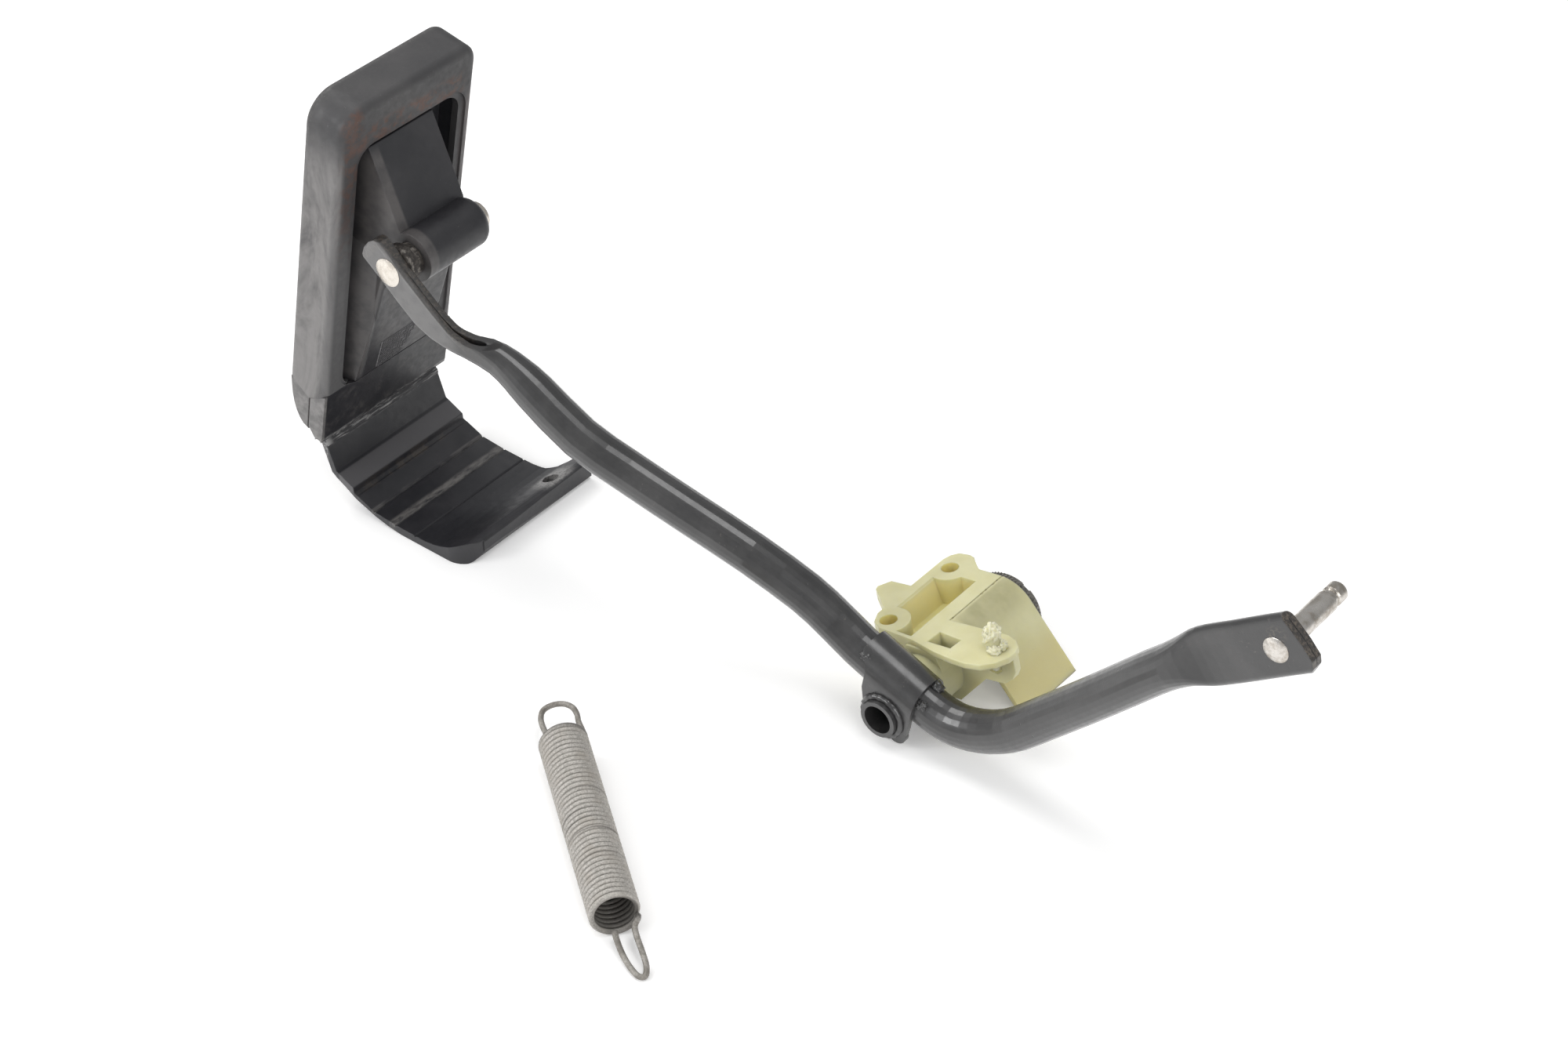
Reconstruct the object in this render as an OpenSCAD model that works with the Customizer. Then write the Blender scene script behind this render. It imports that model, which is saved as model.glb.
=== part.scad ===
// Floor hinged accelerator pedal: pad on a bent tube lever, nylon bearing bracket, return spring.
// Millimetres, +Z up, +X from the pad toward the link pin, Y along every hinge axis.
// Origin on the axis of the heel fixing hole at the floor.

/* [Pad] */
// Width of the pad across the hinge axes
pad_width = 61.5; // [55:0.5:80]
// Thickness of the pad from front skin to rear lip
pad_depth = 17.2; // [14:0.1:24]
// Height at which the rubber boot ends above the toe
boot_height = 119; // [100:0.5:124]
// Lean of the pad toward the lever, in degrees
pad_lean = 10.7; // [0:0.1:25]
// Radius of the upper corner on the lever side
corner_near = 11; // [6:0.5:18]
// Radius of the other upper corner
corner_far = 6.5; // [5:0.5:18]
// Radius of the soft edges of the rubber
pad_soft = 3; // [1:0.25:4]
// Rubber thickness on the sides
boot_wall = 3; // [2:0.25:4]
// Rubber thickness in front of the plate
boot_front = 4.7; // [3:0.1:6]

/* [Pad arm] */
// Width of the arm and of its barrel
arm_width = 29.2; // [22:0.1:33]
// Outer radius of the barrel
barrel_radius = 8.6; // [7:0.1:12]
// Barrel axis behind the rear face of the pad
barrel_out = 21; // [16:0.5:28]
// Barrel axis above the lower end of the boot
barrel_up = 69.5; // [50:0.5:84]

/* [Heel strap] */
// Width of the strap
strap_width = 54.5; // [40:0.5:58]
// Thickness of the strap at its hinge
strap_hinge = 2.4; // [1.6:0.1:3]
// Diameter of the fixing hole
heel_hole = 5.6; // [4.5:0.1:8]

/* [Lever] */
// Outer diameter of the lever tube
tube_diameter = 14; // [12:0.5:18]
// Wall of the lever tube
tube_wall = 2.2; // [1.5:0.1:3]
// Diameter of the pad pin shank
pad_pin = 7; // [6:0.5:10]
// Diameter of the link pin shank
link_pin = 6.9; // [6:0.1:10]
// Sheet thickness of the saddle
saddle_sheet = 1.75; // [1:0.05:2.5]

/* [Pivot] */
// Outer diameter of the pivot tube
pivot_diameter = 13; // [11:0.5:16]
// Inner diameter of the pivot tube
pivot_inner = 10; // [8:0.5:12]
// Running clearance of the bracket bore, radial
pivot_clearance = 0.05; // [0.02:0.01:0.1]
// Outer radius of the round shroud
shroud_radius = 13.65; // [12:0.05:16]
// Diameter of the two bracket bolt holes
bolt_hole = 6; // [5:0.1:8]

/* [Return spring] */
// Outer diameter of the coils
coil_diameter = 16; // [12:0.5:20]
// Wire diameter
wire = 1.9; // [1.2:0.1:2.4]
// Number of close turns
turns = 40; // [20:1:60]

/* [Hidden] */

// Pad frame: x backward, z up, from the top of the rear face on the mid plane
mid = -21;
near = -30;
far = pad_width - 30;
heel_axis = [-59.389, 24.274];
hinge_at = [-2.2, -boot_height - 22.8];
pad_at = [heel_axis[0] - hinge_at[0] * cos(pad_lean) - hinge_at[1] * sin(pad_lean), mid,
    heel_axis[1] + hinge_at[0] * sin(pad_lean) - hinge_at[1] * cos(pad_lean)];
barrel_z = barrel_up - boot_height;
boot_lip = 3.6;
lip_step = 0.9;
lip_wide = 2.6;
plate_front = boot_front - pad_depth;
plate_floor = plate_front + 3.4;
opening_top = -17.2;
opening_end = -boot_height - 2;
rubber = [0.10, 0.10, 0.105];
plastic = [0.07, 0.07, 0.075];
black = [0.13, 0.13, 0.14];
steel = [0.70, 0.68, 0.64];
rusty = [0.36, 0.29, 0.22];
nylon = [0.80, 0.79, 0.60];
zinc = [0.55, 0.55, 0.53];

// Lever layout
lever_y = -19;
pivot = [164.7, lever_y, 10.3];
pivot_slope = 20.6;
tube_over = 8;
pivot_near = -30.6;
bracket_far = 37.7;
washer_at = bracket_far + 0.3;
cap_at = washer_at + 0.9;
pivot_far = cap_at + 1.5;
shroud_at = 9.4;
block_under = 3.2;
boss_radius = 7.3;
bolt_at = [[-17.7, 34.5, 0], [-17.4, 1.0, 0]];
bar_left = -4.8;
bar_right = 0.5;
arm_sheet = 2;
spring_at = [92.7, -97.8];
// A place on the pad's side view, taken to the floor frame
function pad_point(x, z) = [pad_at[0] + x * cos(pad_lean) + z * sin(pad_lean),
    pad_at[2] - x * sin(pad_lean) + z * cos(pad_lean)];
pin_one = pad_point(barrel_out, barrel_z);
pin_two = [295.5, 104];
flat_one = 37.7;
flat_two = 35.4;
arm_far = 12.2;
arm_near = arm_width - arm_far;
back_near = -13.5;
foot_far = 15.5;
back_far = 22.6;
flare_foot = near + 11;
back_top = [6.5, barrel_z - 26.5];
back_end = [-0.3, 0.4 - boot_height - 2];
back_slope = atan2(back_top[0] - back_end[0], back_top[1] - back_end[1]);
rim_round = 3.2;

fine = 96;

module at_pad() translate(pad_at) rotate([0, pad_lean, 0]) children();

// Extrudes an X-Z outline along Y between two values
module along_y(y0, y1) translate([0, y1, 0]) rotate([90, 0, 0]) linear_extrude(height = y1 - y0) children();

// Extrudes a Y-Z outline along X between two values
module along_x(x0, x1) translate([x0, 0, 0]) rotate([90, 0, 90]) linear_extrude(height = x1 - x0)
    children();

// Round bar along Y
module bar_y(x, z, y0, y1, r, n = fine) translate([x, y1, z]) rotate([90, 0, 0])
    cylinder(h = y1 - y0, r = r, $fn = n);

// Flat outline with four rounded corners
module round_box(x0, y0, x1, y1, r) {
    translate([x0 + r, y0]) square([x1 - x0 - 2 * r, y1 - y0]);
    translate([x0, y0 + r]) square([x1 - x0, y1 - y0 - 2 * r]);
    for (x = [x0 + r, x1 - r], y = [y0 + r, y1 - r]) translate([x, y]) circle(r = r, $fn = fine);
}

// Rear opening of the boot, shared by the boot and the block below it
module opening() round_box(near + 8.8, opening_end, far - 6.2, opening_top, 7);

// Half section of a pad corner: radius across, depth up
module corner_section(rc) {
    r = pad_soft;
    square([rc - r, pad_depth]);
    translate([0, r]) square([rc, pad_depth - 2 * r]);
    for (y = [r, pad_depth - r]) translate([rc - r, y]) circle(r = r, $fn = 48);
}

module boot_body() {
    low = boot_height + 6;
    top = max(corner_near, corner_far);
    translate([0, 0, -low]) linear_extrude(height = low - top)
        round_box(-pad_depth, near, 0, far, pad_soft);
    for (c = [[near, 1, corner_near], [far, -1, corner_far]]) {
        y = c[0] + c[1] * c[2];
        if (c[2] < top) translate([0, 0, -top - 1]) linear_extrude(height = top - c[2] + 1)
            intersection() {
                round_box(-pad_depth, near, 0, far, pad_soft);
                translate([-30, c[1] > 0 ? c[0] - 1 : y]) square([60, c[2] + 1]);
            }
        translate([-pad_depth, y, -c[2]]) rotate([0, 90, 0]) rotate_extrude($fn = fine) intersection() {
            corner_section(c[2]);
            square([c[2], pad_depth]);
        }
    }
    along_y(near + corner_near, far - corner_far) {
        translate([-pad_depth, -top - 1]) square([pad_depth, top + 1 - pad_soft]);
        translate([-pad_depth + pad_soft, -top]) square([pad_depth - 2 * pad_soft, top]);
        for (x = [-pad_depth + pad_soft, -pad_soft]) translate([x, -pad_soft])
            circle(r = pad_soft, $fn = 48);
    }
}

// Space inside the boot taken by the plate
module boot_room(g = 0) {
    along_x(plate_front - g, g - boot_lip)
        round_box(near + boot_wall - g, -boot_height - 12, far - boot_wall + g, -boot_wall + g, 6);
}

module pad_cover() color(rubber) at_pad() difference() {
    boot_body();
    boot_room(0.1);
    along_x(-8, 5) opening();
    // Lower lip round the opening
    along_x(-lip_step, 5) round_box(near + 8.8 - lip_wide, opening_end, far - 6.2 + lip_wide,
        opening_top + lip_wide, 7 + lip_wide);
    along_y(near - 1, far + 1) polygon([[-pad_depth - 1, -boot_height + 0.4], [-pad_depth, -boot_height],
        [-7.3, -boot_height - 4.8], [0, -boot_height], [1, -boot_height + 0.6], [1, -160],
        [-pad_depth - 1, -160]]);
}

// Side outline of the plastic toe and neck below the boot
module toe_outline() translate([0, -boot_height]) polygon(concat([[-0.35, -0.35], [-7.3, -5.05],
    [1.1 - pad_depth, -0.7]], [for (a = [12:12:72]) [-6.6 - (pad_depth - 8) * cos(a),
    -0.6 - 18.6 * sin(a)]], [[-6.4, -19.2], [-3.7, -21.4], [-3.7, -22.1], [-0.9, -22.1], [-0.6, -20.4]]));

module arm_outline() polygon([[plate_floor - 0.5, opening_top - 0.8], [-0.7, opening_top - 0.7],
    [15.6, barrel_z + 6.3], [16.6, barrel_z + 2.5], [15.6, barrel_z - 3.5], [13.6, barrel_z - 6.9],
    [9.5, barrel_z - 8], [plate_floor - 0.5, barrel_z - 8]]);

// Barrel with a rounded far rim
module barrel() translate([barrel_out, arm_far, barrel_z]) rotate([90, 0, 0]) rotate_extrude($fn = fine) {
    square([barrel_radius - rim_round, 5]);
    translate([0, rim_round]) square([barrel_radius, arm_far + arm_near - rim_round]);
    intersection() {
        translate([barrel_radius - rim_round, rim_round]) circle(r = rim_round, $fn = 48);
        square([barrel_radius, 10]);
    }
}

module rib_outline() polygon([[plate_floor - 0.5, barrel_z - 6.5], [13.6, barrel_z - 6.5],
    [11.2, barrel_z - 12.5], back_top, back_end, [plate_floor - 0.5, back_end[1]]]);

// Rounds one long edge of the sloping back
module back_edge(y, way) translate([back_top[0], y, back_top[1]]) rotate([0, back_slope, 0])
    translate([0, 0, -60]) linear_extrude(height = 90)
    difference() {
        translate([-1.5, way > 0 ? -1 : -1.5]) square([3, 2.5]);
        translate([-1.5, way * 1.5]) circle(r = 1.5, $fn = 48);
    }

// Wedge that widens an outline toward the plate's floor, from one place on its near side
module flare(x, y) intersection() {
    along_y(near + 8, 0) children();
    translate([0, 0, back_end[1]]) linear_extrude(height = opening_top - back_end[1])
        polygon([[plate_floor - 0.4, flare_foot], [plate_floor - 0.4, y + 1], [x, y + 1], [x, y]]);
}

module pedal_plate() color(plastic) at_pad() difference() {
    union() {
        difference() {
            boot_room();
            along_x(plate_floor, 1) round_box(near + boot_wall + 3, opening_end - 19, far - boot_wall - 3,
                -boot_wall - 3, 4);
            along_y(near, far) translate([-pad_depth, opening_end - 21]) square([pad_depth + 1, 20]);
        }
        difference() {
            along_y(near + 0.3, far - 0.3) toe_outline();
            along_x(plate_floor, 1) opening();
            for (y = [near + 0.3, far - 0.3]) translate([0, y, -boot_height]) along_y(-0.6, 0.6)
                polygon([[-7.6, -4.5], [-7.0, -4.5], [-6.9, -18], [-3.7, -21.6], [-4.4, -21.6],
                    [-7.5, -18.4]]);
        }
        along_y(near + boot_wall, far - boot_wall) polygon([[plate_front, 4 - boot_height],
            [plate_floor, 4 - boot_height], [plate_floor, opening_end], [-boot_lip - 0.1, opening_end],
            [-boot_lip - 0.1, opening_end - 5], [plate_front, opening_end - 5]]);
        barrel();
        difference() {
            along_y(-arm_near, arm_far) arm_outline();
            along_y(2.6 - arm_near, arm_far - 2.6)
                polygon([[plate_floor, opening_top - 10.8], [-boot_lip, opening_top - 10.8],
                    [8.6, barrel_z + 3], [8.6, barrel_z - 10.5], [plate_floor, barrel_z - 10.5]]);
        }
        // Flared near sides of the arm and of the sloping back
        flare(-5, -arm_near) arm_outline();
        flare(4, back_near) rib_outline();
        // Sloping back below the barrel, with rounded long edges
        difference() {
            along_y(back_near, back_far) rib_outline();
            for (e = [[back_near, 1], [back_far, -1]]) back_edge(e[0], e[1]);
            along_y(arm_far, back_far + 1) polygon([[-1, barrel_z - 6.5], [30, barrel_z - 6.5],
                [30, barrel_z - 13.5], [7.9, barrel_z - 13.5], [2, barrel_z - 10.5]]);
        }
    }
    bar_y(barrel_out, barrel_z, -arm_near - 1, arm_far + 1, pad_pin / 2 + 0.05);
    bar_y(hinge_at[0], hinge_at[1], near - 1, far + 1, strap_hinge / 2 + 0.35, 48);
}

// Strap outline from the floor frame; starts at the pad hinge and ends at the fixing boss
strap_top = [[-54.3, 13.1], [-52.3, 12.2], [-46.7, 9.5], [-46.5, 7.5], [-45.2, 6.9], [-44.8, 6.9],
    [-38.2, 4.15], [-37.7, 3.35], [-37.1, 3.75], [-28, 3.05], [-27.5, 2.45], [-27, 3.0], [-18.9, 2.9],
    [-18.4, 2.3], [-17.9, 2.9], [-14, 2.95], [-10, 3.45], [-6.5, 4.4], [-3, 5.8], [0, 7.2], [2, 8.1],
    [3, 8.4], [4.4, 8.4], [5.3, 7.9], [5.8, 7.1]];
strap_under = [[5.8, 3.6], [5.2, 1.8], [4.3, 0.6], [3.2, 0], [-25, 0], [-31, 0.75], [-36.9, 2.1],
    [-45.8, 5.3], [-50.4, 8.2], [-54.6, 10.5], [-56.5, 12.0]];

module heel_strap() color(plastic) {
    y0 = mid - strap_width / 2;
    y1 = mid + strap_width / 2;
    difference() {
        intersection() {
            along_y(y0, foot_far) polygon(concat(strap_top, strap_under,
                [for (a = [200:-18:20]) [heel_axis[0] + strap_hinge / 2 * cos(a),
                heel_axis[1] + strap_hinge / 2 * sin(a)]]));
            // Plan: the foot at the fixing end is wider than the strap
            translate([0, 0, -2]) linear_extrude(height = 40) polygon([[-70, y0 - 1], [6, y0 - 1],
                [6, y0 + 9], [4.9, foot_far + 1], [-1.4, foot_far + 1], [-2.6, y1 + 6], [-4.4, y1 + 2],
                [-8, y1], [-70, y1]]);
        }
        translate([0, 0, -1]) cylinder(h = 14, d = heel_hole, $fn = fine);
        // Rounded corner beside the fixing boss
        translate([0, 0, -1]) linear_extrude(height = 14) difference() {
            translate([-3.1, y0 - 1]) square([9.5, 9.5]);
            translate([-3.1, y0 + 8.5]) circle(r = 8.5, $fn = fine);
        }
        // Hollow under the fixing boss
        translate([0, 0, -1]) linear_extrude(height = 3.2) difference() {
            round_box(-9, y0 + 12, 0.5, y1 - 1, 2);
            circle(r = 6.5, $fn = 48);
        }
    }
}

// Path of the lever: x, y from the mid plane, z, half thickness and half height of the section
path = [[-30.5, -25.7, 119.3, 2.3, 7], [-19.4, -25.7, 110.8, 2.3, 7.1], [-5.6, -25.7, 100.1, 2.3, 7.5],
    [3.8, -25.3, 95.7, 2.5, 6], [10.5, -23.5, 93.4, 3.2, 5.3], [18.8, -19.6, 89.5, 4.9, 5.7],
    [25.5, -18.2, 85.7, 6, 6.2], [32.1, -17.5, 81.5, 6.8, 6.8], [49.7, -16.3, 70.9, 7, 7],
    [65.8, -12.2, 62.6, 7, 7], [88, -8.5, 54.7, 7, 7], [110.1, -4.8, 47, 7, 7], [128.4, 0, 37, 7, 7],
    [139, 1.7, 30.2, 7, 7], [148.8, 2, 24.83, 7, 7], [157.5, 2, 21.56, 7, 7], [166.3, 2, 18.25, 7, 7],
    [175, 2, 14.97, 7, 7], [182, 2, 13.1, 7, 7], [189, 2, 13.2, 7, 7], [196.3, 2, 15.4, 7, 7],
    [203.4, 2, 19.2, 7, 7], [210.4, 2, 24.6, 7, 7], [221.1, 2, 35.6, 7, 7], [234.6, 2, 49.6, 7, 7],
    [247.5, 2, 63.4, 7, 7], [256, 2, 72.6, 7, 7], [262, 2, 78.6, 6.9, 7.1], [267, 2, 83.2, 5.6, 7.9],
    [271.5, 2, 86.8, 3.2, 9.3], [276.5, 2, 90.6, 2.3, 9.8], [285, 2, 96.7, 2.3, 9.8],
    [295.3, 2, 104.3, 2.3, 9.8], [312, 2, 116.2, 2.3, 9.8]];

function cr(p0, p1, p2, p3, t) = 0.5 * ((2 * p1) + (p2 - p0) * t + (2 * p0 - 5 * p1 + 4 * p2 - p3) * t * t
    + (3 * p1 - p0 - 3 * p2 + p3) * t * t * t);
function pick(v, i) = v[max(0, min(len(v) - 1, i))];
function smooth_path(v, n) = [for (i = [0:len(v) - 2], k = [0:n - 1]) cr(pick(v, i - 1), v[i], v[i + 1],
    pick(v, i + 2), k / n), v[len(v) - 1]];
function unit(v) = v / norm(v);
function point(p) = [p[0], mid + p[1], p[2]];
function ahead(v, i) = unit(point(pick(v, i + 1)) - point(pick(v, i - 1)));

function ring(p, t, cut, n) = let (e = unit([0, 1, 0] - t[1] * t), f = cross(t, e), b = min(p[3],
    tube_diameter / 2), r = max(b - cut, 0.12), s = max(p[4] - p[3], 0))
    [for (k = [0:n - 1]) let (a = (k + 0.5) * 360 / n, m = k < n / 2 ? 1 : -1)
        point(p) + e * r * cos(a) + f * (r * sin(a) + m * s)];

module sweep_tube(v, cut, n) {
    m = len(v);
    pts = [for (i = [0:m - 1]) each ring(v[i], ahead(v, i), cut, n)];
    faces = concat([for (i = [0:m - 2], k = [0:n - 1]) [i * n + k, (i + 1) * n + k,
        (i + 1) * n + (k + 1) % n, i * n + (k + 1) % n]], [[for (k = [0:n - 1]) k]],
        [[for (k = [n - 1:-1:0]) (m - 1) * n + k]]);
    polyhedron(points = pts, faces = faces, convexity = 10);
}

// Frames at the two flats: x along the lever, z across it, y straight through
module at_flat_one() translate([pin_one[0], mid, pin_one[1]]) rotate([0, flat_one, 0]) children();
module at_flat_two() translate([pin_two[0], mid, pin_two[1]]) rotate([0, -flat_two, 0]) children();
module at_pivot() translate(pivot) rotate([0, pivot_slope, 0]) children();

module lever_tube() color(black) {
    v = smooth_path(path, 2);
    difference() {
        sweep_tube(v, 0, 24);
        sweep_tube(v, tube_wall, 24);
        at_flat_one() along_y(-32, -18) polygon([[-30, -20], [-30, 30], [46, 30], [42, 12.6], [38.5, 9.2],
            [34, 6.6], [28, 5.1], [20, 4.9], [4, 5.1], [-6, 6.1], [-8.6, 6.0], [-10.4, 4.6], [-11.3, 2],
            [-11.3, -1.5], [-10.4, -4.4], [-8.6, -6.5], [-5.4, -8], [-5.4, -20]]);
        at_flat_one() bar_y(0, 0, -33, -18, pad_pin / 2);
        at_flat_two() along_y(-8, 12) polygon([[30, -20], [30, 20], [3, 20], [6.4, 11], [7.9, 7.4],
            [9.8, 0], [10.5, -5.4], [9.4, -7.8], [7, -9.6], [4, -20]]);
        at_flat_two() bar_y(0, 0, -8, 12, link_pin / 2 - 0.3);
        at_pivot() bar_y(0, 0, -12, 12, pivot_diameter / 2);
    }
}

module saddle() color(black) {
    ri = tube_diameter / 2;
    ro = ri + saddle_sheet;
    at_pivot() difference() {
        intersection() {
            along_x(-20, 20) difference() {
                union() {
                    translate([0, tube_over]) circle(r = ro, $fn = fine);
                    translate([-ro, -10]) square([2 * ro, tube_over + 10]);
                }
                translate([0, tube_over]) circle(r = ri, $fn = fine);
                translate([-ri, -11]) square([2 * ri, tube_over + 11]);
            }
            along_y(-12, 12) {
                polygon([[-16.8, 18], [-16.8, 14.8], [-13.6, 12.4], [-11.7, 9.8], [-10.6, 4], [-8.3, -0.5],
                    [8.4, -1.5], [9.9, -0.6], [9.4, 3], [6.5, 15], [6.2, 18]]);
                circle(r = 8.3, $fn = fine);
                translate([6.6, -2.4]) circle(r = 3.8, $fn = 48);
            }
        }
        bar_y(0, 0, -12, 12, pivot_diameter / 2);
    }
}

module pivot_tube() color(black) difference() {
    bar_y(pivot[0], pivot[2], pivot_near, pivot_far, pivot_diameter / 2);
    bar_y(pivot[0], pivot[2], pivot_near - 1, pivot_far + 1, pivot_inner / 2);
}

// Flat under the washer and the cap, clear of the floor
module under_flat() translate([pivot[0] - 20, 30, -20]) cube([40, 20, 20.6]);

module pivot_washer() color(black) difference() {
    bar_y(pivot[0], pivot[2], washer_at, cap_at, 12.6);
    bar_y(pivot[0], pivot[2], washer_at - 1, cap_at + 1, pivot_diameter / 2);
    under_flat();
}

module pivot_cap() color(black) difference() {
    union() {
        bar_y(pivot[0], pivot[2], cap_at, pivot_far, 12.6);
        bar_y(pivot[0], pivot[2], pivot_far, pivot_far + 1, 11.9);
    }
    bar_y(pivot[0], pivot[2], cap_at - 1, pivot_far, pivot_diameter / 2);
    bar_y(pivot[0], pivot[2], pivot_far - 1, pivot_far + 2, pivot_inner / 2);
    under_flat();
    // Key notch in the rim
    translate(pivot) rotate([0, -62, 0]) translate([11.2, 57.8, -1.6]) cube([3, 4, 3.2]);
}

module pad_pin() color(steel) at_flat_one() {
    bar_y(0, 0, -28, arm_far + 3.4, pad_pin / 2);
    bar_y(0, 0, arm_far + 0.4, arm_far + 2.4, pad_pin / 2 + 1.3);
    rotate([90, 0, 0]) translate([0, 0, 28]) intersection() {
        cylinder(h = 1.1, r = 5, $fn = fine);
        translate([0, 0, -12.4]) sphere(r = 13.5, $fn = fine);
    }
}

module pin_spacer() color(rusty) at_flat_one() difference() {
    union() {
        bar_y(0, 0, -23.42, -20.2, 6.9);
        bar_y(0, 0, -20.2, -arm_near - 0.2, 5.6);
    }
    bar_y(0, 0, -24, -arm_near, pad_pin / 2);
}

module link_pin() color(steel) at_flat_two() {
    bar_y(0, 0, -0.3, 4.4, link_pin / 2 - 0.3);
    bar_y(0, 0, 4.3, 26.7, link_pin / 2);
    bar_y(0, 0, 26.7, 28.9, 2.6);
    rotate([-90, 0, 0]) rotate_extrude($fn = fine)
        polygon([[0, 28.9], [2.8, 28.9], [3.25, 29.4], [3.25, 32.7], [2.7, 33.4], [0, 33.4]]);
    rotate([90, 0, 0]) translate([0, 0, 0.3]) intersection() {
        cylinder(h = 1.3, r = 4.2, $fn = fine);
        translate([0, 0, -8]) sphere(r = 9.1, $fn = fine);
    }
}

// Bracket frame: z is square to the mounting face, tilted 12 degrees on the floor
module at_bracket() translate([pivot[0], 0, pivot[2]]) rotate([0, -12, 0]) children();

// Plan of the mounting block and of its side tab
module flange_outline() {
    polygon([[-23, 2.5], [-21, -1.9], [-17.5, -4.1], [-8, -4.6], [bar_right, -5.2],
        [bar_right, bracket_far], [-8.2, bracket_far], [-9.4, bracket_far + 0.9],
        [-12.2, bracket_far + 3.3], [-13.8, bracket_far + 5], [-16.2, bracket_far + 5.7],
        [-20, bracket_far + 5.1], [-22, bracket_far + 2.8], [-22.8, bracket_far - 0.2]]);
    polygon([[-22, 5], [-32.4, 13.6], [-32.9, 15.2], [-30.6, 19.6], [-22, 20.2]]);
}

// Spring arm seen from above, and the hole in it
module arm_plan() polygon([[-3, -5], [6.6, -7.2], [13.6, -8.1], [20, -8.3], [25, -7.2], [28.8, -4],
    [31, 0.2], [31.2, 3.7], [30.2, 6.6], [27.4, 9.2], [23.3, 10.6], [18, 10.2], [bar_right, shroud_at],
    [-3, shroud_at]]);

module arm_hole() polygon([[1.8, -3.5], [2.2, 2.6], [11.3, 1.8], [10.9, -3.5]]);

// Pocket between the two bolt bosses, with one sloping side
module pocket() difference() {
    translate([0, 0, block_under + 1]) linear_extrude(height = 12)
        polygon([[-19.4, -2.6], [bar_left, -3.4], [bar_left, 31.5], [-19.4, 31.5]]);
    for (p = bolt_at) translate(p) cylinder(h = 20, r = boss_radius, $fn = 64);
    along_y(4, 31) polygon([[-20, 3], [-20, 14], [-18.9, 13], [-16.4, 3]]);
}

// Half round shroud and its tangent skirt
module shroud() along_y(shroud_at, bracket_far) difference() {
    union() {
        circle(r = shroud_radius, $fn = 128);
        polygon([[11.58, 7.23], [0, 0], [16, -20], [28.6, -20]]);
    }
    circle(r = shroud_radius - 1.8, $fn = 128);
    polygon([[10.05, 6.28], [0, -0.5], [12, -21], [27, -21]]);
    translate([-30, -40]) square([30, 80]);
    polygon([[0, 0], [13, -3], [12, -30], [0, -30]]);
}

module bracket_body() {
    // Mounting block with a thin side tab
    difference() {
        translate([0, 0, block_under]) linear_extrude(height = shroud_radius - block_under)
            flange_outline();
        pocket();
        translate([-40, 3, -1]) cube([16.8, 20, 10.5]);
    }
    shroud();
    // Bearing housing and its webs
    bar_y(0, 0, -9.6, bracket_far, 9.6);
    along_y(-4.6, bracket_far) translate([bar_left, 0]) square([bar_right - bar_left, shroud_radius]);
    along_y(-6, 3.2) polygon([[-8.6, 2], [-5.6, shroud_radius - arm_sheet], [6, shroud_radius - arm_sheet],
        [9.2, 2]]);
    // Spring arm with a broken peg
    translate([0, 0, shroud_radius - arm_sheet]) linear_extrude(height = arm_sheet) arm_plan();
    translate([24, 2.4, shroud_radius - 1]) rotate([0, -4, 0]) cylinder(h = 8.5, r = 2.4, $fn = 48);
    // Lug and web under the arm
    along_y(2.2, 5) polygon([[2, 4], [2, 12.5], [31, 12.5], [31.2, 6.8], [29.8, 4], [26.6, 1.5], [24.6, 1],
        [18.7, 0.7], [6.9, -11], [0, -11]]);
}

module bracket() color(nylon) difference() {
    at_bracket() difference() {
        bracket_body();
        for (p = bolt_at) translate(p) translate([0, 0, -10]) cylinder(h = 30, d = bolt_hole, $fn = fine);
        bar_y(0, 0, -11, bracket_far + 1.3, pivot_diameter / 2 + pivot_clearance);
        // Room for the washer and the cap
        bar_y(0, 0, bracket_far, bracket_far + 8.3, 13.1);
        // Hole in the arm, down to a thin wall over the bore
        translate([0, 0, pivot_diameter / 2 + 0.9]) linear_extrude(height = 10) arm_hole();
        // Catch window in the lug
        along_y(1, 6) polygon([[20.6, 4.4], [20.6, 9.6], [25.8, 9.6], [25.8, 5.6], [23.6, 3.9]]);
        // Line pressed beside the joint of the shroud
        along_y(shroud_at, bracket_far + 1) translate([0.9, shroud_radius - 0.35]) square([0.4, 2]);
    }
    translate([100, -50, -40]) cube([140, 120, 40]);
}

// Wire path of the spring: hook, close helix, hook; z along the spring
coil_r = (coil_diameter - wire) / 2;
coil_pitch = wire + 0.05;
steps = 12;
top_hook = [[-4.4, 0, -5], [-4.8, 0, -9], [-4.5, 0, -12.7], [-3, 0, -15.9], [0.2, 0, -17.5],
    [3.6, 0, -17.2], [6, 0, -15], [6.8, 0, -11.5], [6.6, 0, -8], [6.9, -0.1, -4.6], [7.1, -0.2, -2.2]];
end_hook = [[6.4, -0.6, 2.2], [5, -1.9, 4], [4.9, -3, 7.5], [5.4, -4.6, 12], [5.6, -6, 16.5],
    [4.6, -6.9, 19.6], [2.6, -6.9, 19.2], [0.9, -6.4, 15.5], [-0.3, -5.6, 10.5], [-0.8, -4.8, 5],
    [-0.7, -4.3, 2.3]];

function helix() = [for (i = [1:turns * steps])
    let (a = i * 360 / steps - 15) [coil_r * cos(a), coil_r * sin(a), i * coil_pitch / steps]];
function spring_path() = concat(top_hook, helix(), [for (p = end_hook) p + [0, 0, turns * coil_pitch]]);
function w_ahead(v, i) = unit(pick(v, i + 1) - pick(v, i - 1));

// Rings are carried along the wire so that the sweep does not twist
function carry(e, t) = unit(e - (e * t) * t);
function frames(v, i, e, out) = i >= len(v) ? out : let (f = carry(e, w_ahead(v, i)))
    frames(v, i + 1, f, concat(out, [f]));

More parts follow.
